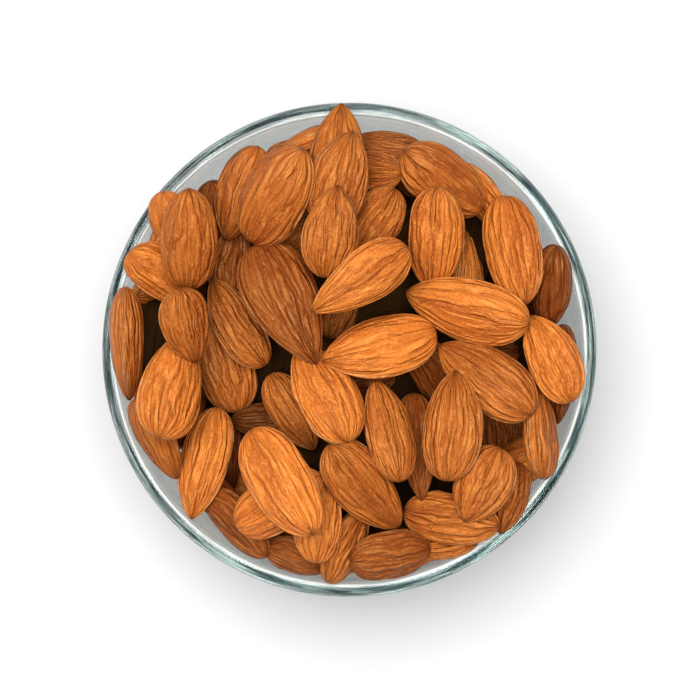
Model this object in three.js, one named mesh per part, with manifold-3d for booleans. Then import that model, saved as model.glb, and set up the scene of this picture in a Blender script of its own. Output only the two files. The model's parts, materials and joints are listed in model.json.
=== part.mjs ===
// A small round glass bowl heaped with whole almonds in their skins.
// Millimetres, +Z up, the origin at the middle of the flat underside of the bowl.
import * as THREE from "three";
import { mergeVertices } from "three/addons/utils/BufferGeometryUtils.js";
import Module from "manifold-3d";

const wasm = await Module();
wasm.setup();

// The bowl: thick pressed glass with a round-topped rim and a flat underside.
const RIM_RADIUS = 55; // outside of the rim, the widest place
const BOWL_HEIGHT = 50;
const RIM_WALL = 3.1;
const FOOT_RADIUS = 28;
const FLOOR_RADIUS = 22; // the flat middle of the inside
const FLOOR_HEIGHT = 5; // thickness of the glass under the almonds
const OUTER_BEND = [46, 10]; // the points that the two walls of the glass bend towards
const INNER_BEND = [43, 10.5];
const BOWL_SEGMENTS = 40;
const WALL_STEPS = 6;
const RIM_STEPS = 4;

// The almonds: an average kernel is 25 mm long, and no two are alike.
const THICKNESS_SHARE = 0.58; // of the breadth
const WIDEST = 0.42; // where along the kernel it is widest, from its blunt end
const BLUNT_POWER = 2.2; // how squarely its blunt end is rounded
const POINT_POWERS = [2.1, 0.75]; // how full its sides run towards the point
const FLANK_POWER = 0.9; // its thickness follows its breadth by this power
const GLASS_GAP = 0.35; // air between the almonds and the glass
const HIDDEN_COUNT = 56; // almonds that lie below the ones seen from above
const HIDDEN_LENGTHS = [21, 27];
const HIDDEN_BREADTHS = [0.5, 0.58]; // shares of the length
const HIDDEN_SPREAD = 49; // radius over which they are strewn
const TRIES = 14; // places tried for each hidden almond, of which the lowest is taken
const CELL = 0.8; // grid of the height map that the almonds settle on
const MAP_HALF = 84; // cells from the middle of the map to its edge
const PRESSED = [0.93, 0.86, 0.84]; // almonds touch at these shares of their length, breadth, thickness
const HIDDEN_SWING = 14; // steps in degrees by which an almond rocks as it settles
const SHOWN_SWING = 9;
const UPRIGHT_COST = 0.05; // millimetres by which a step of rocking has to lower it
const TOUCHING_SKIN = [22, 26]; // rings and sides of the points that feel for a place to rest
const MAPPED_SKIN = [60, 72]; // of those that raise the height map
const HIDDEN_SKIN = [3, 6]; // of the faces of a hidden almond
const SHOWN_SKIN = [4, 8];
// One unpatterned series of numbers from 0 to 1 for each thing that varies among hidden almonds.
const SERIES = { length: 0.618034, breadth: 0.414214, away: 0.754878, round: 0.56984, heading: 0.324718 };
const CORE_CLEARANCE = 2; // the solid middle of the heap lies this far inside the glass
const DOME_FOOT = 39;
const DOME_TOP = 42;
const DOME_STEPS = 4;
const ROOM_REACH = 1.2; // the room over the rim, in radii and heights of the bowl

// The photograph, which looks straight down: its middle and scale at the rim's height, and
// how far above the rim it was taken from.
const MIDDLE = [349.4, 349.8];
const MM_PER_PIXEL = RIM_RADIUS / 248.2;
const CAMERA_ABOVE_RIM = 650;

// The almonds that show, lowest first, so that each lies on those above it in the list:
// blunt end x y, pointed end x y and breadth as seen, in pixels of the photograph, then how much
// higher the pointed end lies in millimetres, and how far it is rolled on to its edge in degrees.
const SHOWN = [
  [214, 182, 224, 262, 44, -3, 20],
  [426, 155, 346, 141, 37, 0, 25],
  [563, 324, 557, 424, 36, 0, 60],
  [226, 415, 229, 494, 36, 0, 0],
  [232, 420, 312, 425, 36, 0, 0],
  [497, 396, 500, 478, 42, -2, 30],
  [330, 222, 262, 254, 44, -2, 20],
  [518, 462, 500, 534, 40, -3, 35],
  [226, 304, 238, 222, 42, 2, 30],
  [139, 398, 176, 480, 46, -2, 25],
  [266, 546, 330, 570, 42, 2, 25],
  [478, 538, 400, 552, 32, 0, 40],
  [164, 193, 190, 268, 42, -4, 40],
  [458, 166, 514, 236, 42, 0, 35],
  [556, 247, 545, 330, 40, -3, 55],
  [207, 494, 268, 556, 42, 0, 30],
  [266, 158, 330, 152, 38, 0, 50],
  [327, 582, 367, 505, 32, 3, 75],
  [468, 322, 466, 229, 32, 6, 75],
  [398, 368, 326, 388, 40, 0, 25],
  [416, 340, 462, 415, 50, -3, 5],
  [401, 177, 316, 180, 40, -3, 30],
  [543, 479, 538, 384, 44, 2, 40],
  [329, 338, 352, 258, 38, 2, 30],
  [130, 252, 190, 306, 50, 0, 10],
  [350, 560, 431, 551, 51, 0, 10],
  [126, 287, 128, 402, 36, 0, 75],
  [270, 374, 315, 450, 40, 0, 30],
  [519, 350, 440, 364, 44, 0, 15],
  [329, 203, 342, 104, 56, 8, 0],
  [238, 412, 212, 320, 57, 0, 5],
  [404, 512, 499, 526, 50, 0, 15],
  [316, 563, 326, 468, 47, 3, 20],
  [410, 393, 421, 497, 42, 2, 25],
  [259, 147, 226, 240, 46, -3, 35],
  [236, 528, 322, 476, 56, 0, 10],
  [329, 444, 398, 530, 60, -1, 5],
  [396, 190, 348, 264, 50, 0, 15],
  [571, 402, 531, 315, 52, 2, 15],
  [160, 438, 186, 336, 66, 0, 5],
  [403, 152, 482, 211, 60, -3, 8],
  [265, 366, 208, 281, 47, -1, 20],
  [326, 227, 353, 131, 62, 2, 5],
  [503, 196, 522, 306, 60, 0, 8],
  [532, 414, 440, 345, 63, 2, 8],
  [180, 289, 193, 363, 51, -14, 0],
  [348, 442, 299, 343, 66, -2, 5],
  [217, 408, 192, 519, 54, -2, 10],
  [501, 448, 464, 522, 60, -5, 5],
  [437, 188, 431, 288, 56, 0, 5],
  [188, 289, 191, 189, 57, 0, 10],
  [400, 481, 375, 379, 52, 0, 10],
  [251, 430, 313, 535, 64, -1, 5],
  [250, 241, 305, 150, 69, 0, 5],
  [436, 331, 322, 361, 65, 0, 5],
  [325, 278, 338, 185, 57, -4, 0],
  [447, 481, 456, 370, 61, 0, 5],
  [257, 243, 319, 364, 77, -2, 5],
  [528, 323, 406, 292, 65, 0, 5],
  [408, 247, 312, 314, 56, -3, 8],
];

const degrees = THREE.MathUtils.degToRad;

// A point of the curve that leaves start and bends towards a third point to reach end.
function bend(start, via, end, t) {
  return start.map((v, k) => v * (1 - t) ** 2 + 2 * via[k] * t * (1 - t) + end[k] * t * t);
}

const rimMiddle = RIM_RADIUS - RIM_WALL / 2;
const rimStart = BOWL_HEIGHT - RIM_WALL / 2; // height at which the rounding of the rim begins

// The inside of the bowl from the middle of its floor up to the rim, moved into the bowl by gap.
function insideProfile(gap) {
  const points = [new THREE.Vector2(0, FLOOR_HEIGHT + gap)];
  for (let i = 0; i <= WALL_STEPS; i++) {
    const t = i / WALL_STEPS;
    const [r, z] = bend([FLOOR_RADIUS, FLOOR_HEIGHT], INNER_BEND, [RIM_RADIUS - RIM_WALL, rimStart], t);
    points.push(new THREE.Vector2(r - gap * t, z + gap * (1 - t)));
  }
  return points;
}

// A profile of distances from the axis and heights, turned about the upright axis.
function lathe(profile, segments) {
  return new THREE.LatheGeometry(profile, segments).rotateX(Math.PI / 2);
}

function bowlGeometry() {
  const profile = insideProfile(0);
  for (let i = 1; i < RIM_STEPS; i++) {
    const a = Math.PI * (1 - i / RIM_STEPS);
    const r = rimMiddle + (RIM_WALL / 2) * Math.cos(a);
    profile.push(new THREE.Vector2(r, rimStart + (RIM_WALL / 2) * Math.sin(a)));
  }
  for (let i = WALL_STEPS; i >= 0; i--) {
    const [r, z] = bend([FOOT_RADIUS, 0], OUTER_BEND, [RIM_RADIUS, rimStart], i / WALL_STEPS);
    profile.push(new THREE.Vector2(r, z));
  }
  profile.push(new THREE.Vector2(0, 0));
  return lathe(profile.reverse(), BOWL_SEGMENTS);
}

// All the space that the almonds may fill: inside the glass, and over its rim.
function roomGeometry() {
  const above = BOWL_HEIGHT * 2 * ROOM_REACH;
  const profile = insideProfile(GLASS_GAP);
  for (let i = 1; i <= RIM_STEPS; i++) {
    const a = Math.PI * (1 - i / RIM_STEPS / 2);
    const r = rimMiddle + (RIM_WALL / 2 + GLASS_GAP) * Math.cos(a);
    profile.push(new THREE.Vector2(r, rimStart + (RIM_WALL / 2 + GLASS_GAP) * Math.sin(a)));
  }
  profile.push(new THREE.Vector2(RIM_RADIUS * ROOM_REACH, BOWL_HEIGHT + GLASS_GAP));
  profile.push(new THREE.Vector2(RIM_RADIUS * ROOM_REACH, above));
  profile.push(new THREE.Vector2(0, above));
  return lathe(profile, BOWL_SEGMENTS);
}

// Height of the glass under a point at this distance from the middle.
function glassHeight(distance) {
  const r = distance + GLASS_GAP / 2;
  if (r > RIM_RADIUS - RIM_WALL) {
    const across = Math.min(Math.abs(r - rimMiddle), RIM_WALL / 2);
    return rimStart + Math.sqrt((RIM_WALL / 2) ** 2 - across ** 2) + GLASS_GAP;
  }
  if (r < FLOOR_RADIUS) return FLOOR_HEIGHT + GLASS_GAP;
  const a = FLOOR_RADIUS - 2 * INNER_BEND[0] + RIM_RADIUS - RIM_WALL;
  const b = 2 * (INNER_BEND[0] - FLOOR_RADIUS);
  const t = (-b + Math.sqrt(b * b - 4 * a * (FLOOR_RADIUS - r))) / (2 * a);
  return bend([FLOOR_HEIGHT], [INNER_BEND[1]], [rimStart], t)[0] + GLASS_GAP;
}

// Half the breadth of an almond at s, from 0 at its blunt end to 1 at its point, as a share.
function taper(s) {
  if (s < WIDEST) return Math.sqrt(1 - ((WIDEST - s) / WIDEST) ** BLUNT_POWER);
  return (1 - ((s - WIDEST) / (1 - WIDEST)) ** POINT_POWERS[0]) ** POINT_POWERS[1];
}

// Points on an almond's skin, ring by ring from the blunt end to the point, with one at each end.
function skinPoints({ length, breadth, thickness }, rings, sides) {
  const points = [new THREE.Vector3(-length / 2, 0, 0)];
  for (let i = 1; i <= rings; i++) {
    const s = (1 - Math.cos((Math.PI * i) / (rings + 1))) / 2;
    for (let j = 0; j < sides; j++) {
      const a = (2 * Math.PI * (j + 0.5)) / sides;
      const y = (breadth / 2) * taper(s) * Math.cos(a);
      const z = (thickness / 2) * taper(s) ** FLANK_POWER * Math.sin(a);
      points.push(new THREE.Vector3((s - 0.5) * length, y, z));
    }
  }
  points.push(new THREE.Vector3(length / 2, 0, 0));
  return points;
}

// The way an almond lies: its heading on the table, how far its point is raised, and its roll.
function turned(heading, pitch, roll) {
  const along = new THREE.Vector3(
    Math.cos(heading) * Math.cos(pitch),
    Math.sin(heading) * Math.cos(pitch),
    Math.sin(pitch),
  );
  const level = new THREE.Vector3(-Math.sin(heading), Math.cos(heading), 0);
  const up = new THREE.Vector3().crossVectors(along, level);
  const across = level.clone().multiplyScalar(Math.cos(roll)).addScaledVector(up, Math.sin(roll));
  const normal = new THREE.Vector3().crossVectors(along, across);
  return new THREE.Matrix4().makeBasis(along, across, normal);
}

// The height map: for each cell, how high the glass or the almonds reach there.
const width = 2 * MAP_HALF + 1;
const heights = new Float64Array(width * width);
for (let i = 0; i < width; i++) {
  for (let j = 0; j < width; j++) {
    heights[i * width + j] = glassHeight(Math.hypot(i - MAP_HALF, j - MAP_HALF) * CELL);
  }
}

function cellAt(x, y) {
  return (Math.round(x / CELL) + MAP_HALF) * width + Math.round(y / CELL) + MAP_HALF;
}

// The skin of an almond that lies this way, drawn in to where it meets its neighbours.
function pressedSkin(almond, length, matrix, rings, sides) {
  const press = new THREE.Matrix4().makeScale(...PRESSED).premultiply(matrix);
  return skinPoints({ ...almond, length }, rings, sides).map((p) => p.applyMatrix4(press));
}

// The height at which an almond, lying this way at x y, first touches what is below it.
function restingHeight(points, x, y) {
  return Math.max(...points.map((p) => heights[cellAt(x + p.x, y + p.y)] - p.z));
}

// Lets an almond rock, from the way it was put down, to where its middle lies lowest.
function rock(almond, x, y, swing) {
  const best = { score: Infinity };
  for (const pitchStep of [-2, -1, 0, 1, 2]) {
    for (const rollStep of [-2, -1, 0, 1, 2]) {
      const pitch = almond.pitch + degrees(pitchStep * swing);
      const roll = almond.roll + degrees(rollStep * swing);
      const length = almond.run ? almond.run / Math.cos(pitch) : almond.length;
      const matrix = turned(almond.heading, pitch, roll);
      const z = restingHeight(pressedSkin(almond, length, matrix, ...TOUCHING_SKIN), x, y);
      const score = z + UPRIGHT_COST * (Math.abs(pitchStep) + Math.abs(rollStep));
      if (score < best.score) Object.assign(best, { score, x, y, z, length, matrix });
    }
  }
  return best;
}

// Leaves an almond where it came to rest, and raises the height map over it.
function leave(almond, place) {
  for (const p of pressedSkin(almond, place.length, place.matrix, ...MAPPED_SKIN)) {
    const cell = cellAt(place.x + p.x, place.y + p.y);
    heights[cell] = Math.max(heights[cell], place.z + p.z);
  }
  return { ...almond, ...place };
}

// The n-th number of a series.
const spread = (n, ratio) => (0.5 + n * ratio) % 1;

function hiddenAlmond(n) {
  const [short, long] = HIDDEN_LENGTHS;
  const [slim, broad] = HIDDEN_BREADTHS;
  const length = short + (long - short) * spread(n, SERIES.length);
  const breadth = length * (slim + (broad - slim) * spread(n, SERIES.breadth));
  const tries = [];
  for (let k = n * TRIES; k < (n + 1) * TRIES; k++) {
    const away = HIDDEN_SPREAD * Math.sqrt(spread(k, SERIES.away));
    const round = 2 * Math.PI * spread(k, SERIES.round);
    const almond = {
      length,
      breadth,
      thickness: breadth * THICKNESS_SHARE,
      heading: 2 * Math.PI * spread(k, SERIES.heading),
      pitch: 0,
      roll: 0,
    };
    tries.push([almond, rock(almond, away * Math.cos(round), away * Math.sin(round), HIDDEN_SWING)]);
  }
  tries.sort((a, b) => a[1].score - b[1].score);
  return leave(...tries[0]);
}

// An almond read from the photograph. Its size and place shrink or grow with its height below
// or above the rim, so it is put down twice, the second time for the height found first.
function shownAlmond([bluntX, bluntY, pointX, pointY, seenBreadth, rise, rollDegrees]) {
  const roll = degrees(rollDegrees);
  let place = { z: BOWL_HEIGHT };
  let almond;
  for (let pass = 0; pass < 2; pass++) {
    const scale = MM_PER_PIXEL * (1 - (place.z - BOWL_HEIGHT) / CAMERA_ABOVE_RIM);
    const [dx, dy] = [(pointX - bluntX) * scale, (bluntY - pointY) * scale];
    const run = Math.hypot(dx, dy);
    const flat = Math.hypot(Math.cos(roll), THICKNESS_SHARE * Math.sin(roll));
    const breadth = (seenBreadth * scale) / flat;
    const pitch = Math.atan2(rise, run);
    const heading = Math.atan2(dy, dx);
    almond = { run, breadth, thickness: breadth * THICKNESS_SHARE, heading, pitch, roll };
    const x = ((bluntX + pointX) / 2 - MIDDLE[0]) * scale;
    const y = (MIDDLE[1] - (bluntY + pointY) / 2) * scale;
    place = rock(almond, x, y, SHOWN_SWING);
  }
  return leave(almond, place);
}

// Joins triangles given by their corners into one closed solid.
function solidOf(geometry) {
  geometry.deleteAttribute("normal");
  geometry.deleteAttribute("uv");
  const merged = mergeVertices(geometry, 1e-4);
  return new wasm.Manifold(
    new wasm.Mesh({
      numProp: 3,
      vertProperties: new Float32Array(merged.attributes.position.array),
      triVerts: new Uint32Array(merged.index.array),
    }),
  );
}

function geometryOf(solid) {
  const mesh = solid.getMesh();
  const geometry = new THREE.BufferGeometry();
  geometry.setAttribute("position", new THREE.BufferAttribute(mesh.vertProperties, 3));
  geometry.setIndex(new THREE.BufferAttribute(mesh.triVerts, 1));
  geometry.computeVertexNormals();
  return geometry;
}

// One whole almond as a closed solid where it lies. Its flat faces cut the round skin short, so
// its breadth and thickness are swelled until its section has the area of the round one.
function almondSolid(almond, rings, sides) {
  const corner = (2 * Math.PI) / sides;
  const swell = Math.sqrt(corner / Math.sin(corner));
  const { breadth, thickness } = almond;
  const swelled = { ...almond, breadth: breadth * swell, thickness: thickness * swell };
  const points = skinPoints(swelled, rings, sides);
  const last = points.length - 1;
  const faces = [];
  for (let j = 0; j < sides; j++) {
    const next = (j + 1) % sides;
    faces.push(0, 1 + next, 1 + j);
    for (let i = 0; i < rings - 1; i++) {
      const a = 1 + i * sides;
      faces.push(a + j, a + next, a + sides + j);
      faces.push(a + next, a + sides + next, a + sides + j);
    }
    faces.push(last, last - sides + j, last - sides + next);
  }
  const geometry = new THREE.BufferGeometry().setFromPoints(points);
  geometry.setIndex(faces);
  geometry.applyMatrix4(almond.matrix);
  geometry.translate(almond.x, almond.y, almond.z);
  return solidOf(geometry);
}

// The middle of the heap, under the almonds that show: a low dome that stays inside the glass.
function coreSolid() {
  const profile = insideProfile(CORE_CLEARANCE);
  const edge = profile.at(-1).x;
  for (let i = 1; i <= DOME_STEPS; i++) {
    const a = (Math.PI / 2) * (i / DOME_STEPS);
    profile.push(new THREE.Vector2(edge * Math.cos(a), DOME_FOOT + (DOME_TOP - DOME_FOOT) * Math.sin(a)));
  }
  profile.at(-1).x = 0;
  return solidOf(lathe(profile, BOWL_SEGMENTS / 2));
}

// The heap is one solid: every almond joined to the core, cut back where it would touch the glass.
function heapGeometry() {
  const hidden = [];
  for (let n = 0; n < HIDDEN_COUNT; n++) hidden.push(hiddenAlmond(n));
  const shown = SHOWN.map(shownAlmond);
  const solids = [
    coreSolid(),
    ...hidden.map((almond) => almondSolid(almond, ...HIDDEN_SKIN)),
    ...shown.map((almond) => almondSolid(almond, ...SHOWN_SKIN)),
  ];
  const heap = wasm.Manifold.union(solids).intersect(solidOf(roomGeometry()));
  if (heap.decompose().length > 1) throw new Error("an almond lies apart from the heap");
  return geometryOf(heap);
}

const glass = new THREE.MeshStandardMaterial({
  color: 0xdce8e4,
  roughness: 0.03,
  metalness: 0,
  transparent: true,
  opacity: 0.35,
});
const almondSkin = new THREE.MeshStandardMaterial({ color: 0xa9602c, roughness: 0.62, metalness: 0 });

const bowl = new THREE.Mesh(bowlGeometry(), glass);
bowl.name = "glass_bowl";

const heap = new THREE.Mesh(heapGeometry(), almondSkin);
heap.name = "almond_heap";

const part = new THREE.Group();
part.add(bowl, heap);

export default part;
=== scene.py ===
import json
import math

import bpy
import numpy as np
from mathutils import Matrix, Vector

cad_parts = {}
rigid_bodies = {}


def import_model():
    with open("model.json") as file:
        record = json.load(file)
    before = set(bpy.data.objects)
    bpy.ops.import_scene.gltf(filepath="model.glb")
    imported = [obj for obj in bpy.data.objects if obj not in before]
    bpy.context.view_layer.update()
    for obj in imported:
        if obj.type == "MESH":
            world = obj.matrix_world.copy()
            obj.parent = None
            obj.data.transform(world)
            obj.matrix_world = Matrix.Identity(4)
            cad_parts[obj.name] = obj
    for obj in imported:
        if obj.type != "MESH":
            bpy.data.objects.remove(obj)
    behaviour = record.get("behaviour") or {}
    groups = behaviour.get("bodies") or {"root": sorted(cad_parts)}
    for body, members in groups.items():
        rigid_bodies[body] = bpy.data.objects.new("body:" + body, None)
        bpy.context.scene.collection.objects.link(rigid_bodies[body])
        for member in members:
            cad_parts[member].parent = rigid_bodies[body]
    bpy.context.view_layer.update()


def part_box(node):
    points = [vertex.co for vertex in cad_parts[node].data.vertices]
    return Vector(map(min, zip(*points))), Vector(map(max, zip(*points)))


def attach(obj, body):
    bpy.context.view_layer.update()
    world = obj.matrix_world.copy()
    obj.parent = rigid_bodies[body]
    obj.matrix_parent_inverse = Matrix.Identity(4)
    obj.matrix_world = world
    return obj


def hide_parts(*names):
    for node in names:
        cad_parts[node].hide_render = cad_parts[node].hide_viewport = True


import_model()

# ---------------------------------------------------------------------------------------------
# The glass bowl. One pressed piece of clear glass with a rounded rim and a flat underside,
# faintly blue-green where it is seen through its thickness.

MM = 0.001
BOWL_LOW, BOWL_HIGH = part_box("glass_bowl")
RIM_RADIUS = BOWL_HIGH[0]
RIM_TOP = BOWL_HIGH[2]
RIM_WALL = 3.1 * MM
FOOT_RADIUS = 28 * MM
FOOT_ROUNDING = 0.8 * MM
FLOOR_RADIUS = 22 * MM
FLOOR_HEIGHT = 5 * MM
OUTER_BEND = (46 * MM, 10 * MM)  # where the walls of the glass bend towards
INNER_BEND = (43 * MM, 10.5 * MM)
RIM_MIDDLE = RIM_RADIUS - RIM_WALL / 2
RIM_START = RIM_TOP - RIM_WALL / 2
CROWN_RADIUS = 52.5 * MM  # the rim is highest near its inner edge, and falls away outwards
CROWN_DROP = (0.9 * MM, 2.6 * MM)  # how far its rounding comes down, inside and outside
EDGE_LINE = 0.45 * MM  # how far down the inside a pale line of painted highlight runs round the rim
RIM_FINISH_DEPTH = 0.4 * MM  # how far below its rounding the rim's finish, hazy and streaked with painted reflections, begins
OUTSIDE_START = 0.03  # the rounding of the foot stands for the first part of the outside
WALL_STEPS = 48
BOWL_SEGMENTS = 256
GLASS_DEPTH_COLOUR = (0.70, 0.86, 0.83)  # which light takes on inside the glass
GLASS_DEPTH_DENSITY = 12
LAMP_SHARE = (0.72, 0.75, 0.73)  # how much of the lamp's light comes straight through the glass
STREAKS_ROUND, STREAKS_PER_METRE = 4.0, 1300.0  # how close they lie, round the bowl and outwards
WAVES_PER_METRE = 38.0
WAVE_HEIGHT, WAVE_STRENGTH = 1.2 * MM, 0.3
RIM_PAINTED_STREAKS, EDGE_PAINTED_HIGHLIGHT = 1, 2  # the places of these finishes among the bowl's three: painted reflections on the rim, a painted highlight on its inner edge


def bend(start, via, end, t):
    """Points of the curve that leaves start, bends towards via and reaches end."""
    start, via, end, t = map(np.asarray, (start, via, end, np.atleast_1d(t)[:, None]))
    return start * (1 - t) ** 2 + 2 * via * t * (1 - t) + end * t**2


def inner_wall(steps):
    """Radius and height of the inside of the bowl, from the edge of its floor to the rim."""
    top = (RIM_RADIUS - RIM_WALL, RIM_START)
    return bend((FLOOR_RADIUS, FLOOR_HEIGHT), INNER_BEND, top, np.linspace(0, 1, steps))


def arc(centre, radius, start, end, steps):
    """Points on part of a circle, between two angles in degrees."""
    a = np.radians(np.linspace(start, end, steps))
    return np.c_[centre[0] + radius * np.cos(a), centre[1] + radius * np.sin(a)]


def turned_piece(name, profile, segments):
    """A closed piece turned about the upright axis from radii and heights, bottom pole first."""
    rings = profile[1:-1]
    a = 2 * math.pi * np.arange(segments) / segments
    wheel = np.stack([np.cos(a), np.sin(a)], -1)
    around = rings[:, None, :1] * wheel[None]
    up = np.repeat(rings[:, None, 1:], segments, 1)
    points = np.concatenate([around, up], -1).reshape(-1, 3)
    points = np.vstack([[0, 0, profile[0][1]], points, [0, 0, profile[-1][1]]])
    last = len(points) - 1
    faces = []
    for j in range(segments):
        k = (j + 1) % segments
        faces.append((0, 1 + k, 1 + j))
        faces.append((last, last - segments + j, last - segments + k))
        for i in range(len(rings) - 1):
            low, high = 1 + i * segments, 1 + (i + 1) * segments
            faces.append((low + j, low + k, high + k, high + j))
    mesh = bpy.data.meshes.new(name)
    mesh.from_pydata(points.tolist(), [], faces)
    mesh.shade_smooth()
    piece = bpy.data.objects.new(name, mesh)
    bpy.context.scene.collection.objects.link(piece)
    return piece


class Wiring:
    """Adds nodes to a tree: a value given to a node is either another node's output or a number."""

    def __init__(self, tree):
        self.tree = tree

    def join(self, value, socket):
        if hasattr(value, "is_output"):
            self.tree.links.new(value, socket)
        else:
            socket.default_value = value

    def add(self, kind, sockets=(), **settings):
        node = self.tree.nodes.new(kind)
        for key, value in settings.items():
            setattr(node, key, value)
        for key, value in dict(sockets).items():
            self.join(value, node.inputs[key])
        return node

    def sums(self, operation, *values):
        return self.add("ShaderNodeMath", enumerate(values), operation=operation).outputs[0]

    def vectors(self, operation, *values):
        return self.add("ShaderNodeVectorMath", enumerate(values), operation=operation).outputs[0]

    def scaled(self, value, by):
        sockets = {0: value, "Scale": by}
        return self.add("ShaderNodeVectorMath", sockets, operation="SCALE").outputs[0]

    def vector(self, x, y, z):
        return self.add("ShaderNodeCombineXYZ", {"X": x, "Y": y, "Z": z}).outputs[0]

    def noise(self, at, scale, detail, output=0):
        sockets = {"Vector": at, "Scale": scale, "Detail": detail}
        return self.add("ShaderNodeTexNoise", sockets).outputs[output]

    def stretch(self, value, low, high, start=0.0, end=1.0):
        """Runs smoothly from start to end while value runs from low to high."""
        sockets = {"Value": value, "From Min": low, "From Max": high}
        sockets.update({"To Min": start, "To Max": end})
        return self.add("ShaderNodeMapRange", sockets, interpolation_type="SMOOTHSTEP").outputs[0]


outer_top = (RIM_RADIUS, RIM_TOP - CROWN_DROP[1])
along_outside = np.linspace(OUTSIDE_START, 1, WALL_STEPS)
outside = bend((FOOT_RADIUS, 0), OUTER_BEND, outer_top, along_outside)
crown_outside = arc((0, 0), 1, 0, 90, 16)[1:]
crown_outside *= (RIM_RADIUS - CROWN_RADIUS, CROWN_DROP[1])
crown_outside += (CROWN_RADIUS, outer_top[1])
crown_inside = arc((0, 0), 1, 90, 180, 8)[1:]
crown_inside *= (CROWN_RADIUS - RIM_RADIUS + RIM_WALL, CROWN_DROP[0])
crown_inside += (CROWN_RADIUS, RIM_TOP - CROWN_DROP[0])
bowl_profile = np.vstack(
    [
        [[0, 0], [FOOT_RADIUS * 0.5, 0]],
        arc((FOOT_RADIUS - FOOT_ROUNDING, FOOT_ROUNDING), FOOT_ROUNDING, -90, -52, 5),
        outside,
        crown_outside,
        crown_inside,
        inner_wall(WALL_STEPS)[::-1],
        [[FLOOR_RADIUS * 0.5, FLOOR_HEIGHT], [0, FLOOR_HEIGHT]],
    ]
)
bowl = turned_piece("clear_bowl", bowl_profile, BOWL_SEGMENTS)


def tint_streaks_and_waves():
    """A group for all finishes of the glass: its tint, in long streaks that run round the bowl
    between a pale and a dark grey, which are painted reflections on the rim and a painted highlight
    on its inner edge, and the height of the slow waves in its surface."""
    tree = bpy.data.node_groups.new("tint_streaks_and_waves", "ShaderNodeTree")
    put = tree.interface.new_socket
    put("Pale", in_out="INPUT", socket_type="NodeSocketColor")
    put("Dark", in_out="INPUT", socket_type="NodeSocketColor")
    put("Tint", in_out="OUTPUT", socket_type="NodeSocketColor")
    put("Waves", in_out="OUTPUT", socket_type="NodeSocketFloat")
    nodes = Wiring(tree)
    given = nodes.add("NodeGroupInput").outputs
    place = nodes.add("ShaderNodeTexCoord").outputs["Object"]
    across = nodes.vectors("MULTIPLY", place, (1.0, 1.0, 0.0))
    away = nodes.add("ShaderNodeVectorMath", {0: across}, operation="LENGTH").outputs["Value"]
    round_it = nodes.scaled(nodes.vectors("NORMALIZE", across), STREAKS_ROUND)
    outwards = nodes.scaled((0.0, 0.0, 1.0), nodes.sums("MULTIPLY", away, STREAKS_PER_METRE))
    streak = nodes.noise(nodes.vectors("ADD", round_it, outwards), 1.0, 2.0)
    sockets = {0: nodes.stretch(streak, 0.42, 0.62), 6: given["Dark"], 7: given["Pale"]}
    tint = nodes.add("ShaderNodeMix", sockets, data_type="RGBA").outputs[2]
    waves = nodes.noise(place, WAVES_PER_METRE, 1.0)
    nodes.add("NodeGroupOutput", {"Tint": tint, "Waves": waves})
    return tree


streaks_and_waves = tint_streaks_and_waves()


def glass(name, clearness, roughness, pale, dark):
    """Glass as clear as its share of clearness, and streaked between these two greys."""
    material = bpy.data.materials.new(name)
    material.use_nodes = True
    nodes = Wiring(material.node_tree)
    shader = material.node_tree.nodes["Principled BSDF"]
    shader.inputs["Roughness"].default_value = roughness
    shader.inputs["IOR"].default_value = 1.5
    shader.inputs["Transmission Weight"].default_value = clearness
    depth = nodes.add("ShaderNodeVolumeAbsorption")
    depth.inputs["Color"].default_value = (*GLASS_DEPTH_COLOUR, 1)
    depth.inputs["Density"].default_value = GLASS_DEPTH_DENSITY
    nodes.join(depth.outputs[0], material.node_tree.nodes["Material Output"].inputs["Volume"])
    sockets = {"Pale": (*pale, 1), "Dark": (*dark, 1)}
    streak_parts = nodes.add("ShaderNodeGroup", sockets, node_tree=streaks_and_waves).outputs
    nodes.join(streak_parts["Tint"], shader.inputs["Base Color"])
    sockets = {"Strength": WAVE_STRENGTH, "Distance": WAVE_HEIGHT, "Height": streak_parts["Waves"]}
    nodes.join(nodes.add("ShaderNodeBump", sockets).outputs[0], shader.inputs["Normal"])
    # part of the light of the lamp comes straight through, on to what is inside and behind
    through = nodes.add("ShaderNodeBsdfTransparent", {"Color": (*LAMP_SHARE, 1)})
    lamp = nodes.add("ShaderNodeLightPath").outputs["Is Shadow Ray"]
    sockets = {0: lamp, 1: shader.outputs[0], 2: through.outputs[0]}
    out = material.node_tree.nodes["Material Output"].inputs["Surface"]
    nodes.join(nodes.add("ShaderNodeMixShader", sockets).outputs[0], out)
    return material


# clear walls, a rounded rim, a little hazy and streaked with painted reflections, and its inner
# edge, a pale line of painted highlight
for finish in (
    glass("clear_glass", 1.0, 0.02, (0.66, 0.70, 0.69), (0.60, 0.64, 0.63)),
    glass("rim_painted_streaks", 0.86, 0.06, (0.56, 0.58, 0.57), (0.018, 0.030, 0.034)),
    glass("edge_painted_highlight", 0.45, 0.15, (0.96, 0.95, 0.91), (0.72, 0.72, 0.69)),
):
    bowl.data.materials.append(finish)
# the inner edge takes the painted highlight, the outer rounding of the rim the painted reflections
for face in bowl.data.polygons:
    away = math.hypot(*face.center[:2])
    if face.center[2] > RIM_TOP - EDGE_LINE and away < CROWN_RADIUS:
        face.material_index = EDGE_PAINTED_HIGHLIGHT
    elif face.center[2] > outer_top[1] - RIM_FINISH_DEPTH and away > CROWN_RADIUS:
        face.material_index = RIM_PAINTED_STREAKS
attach(bowl, "root")
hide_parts("glass_bowl")

# ---------------------------------------------------------------------------------------------
# The almonds. Whole kernels in their brown skins: blunt at one end, pointed at the other, with
# ridges that run from end to end. Each one lies loose on those below it, as in the photograph.

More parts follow.
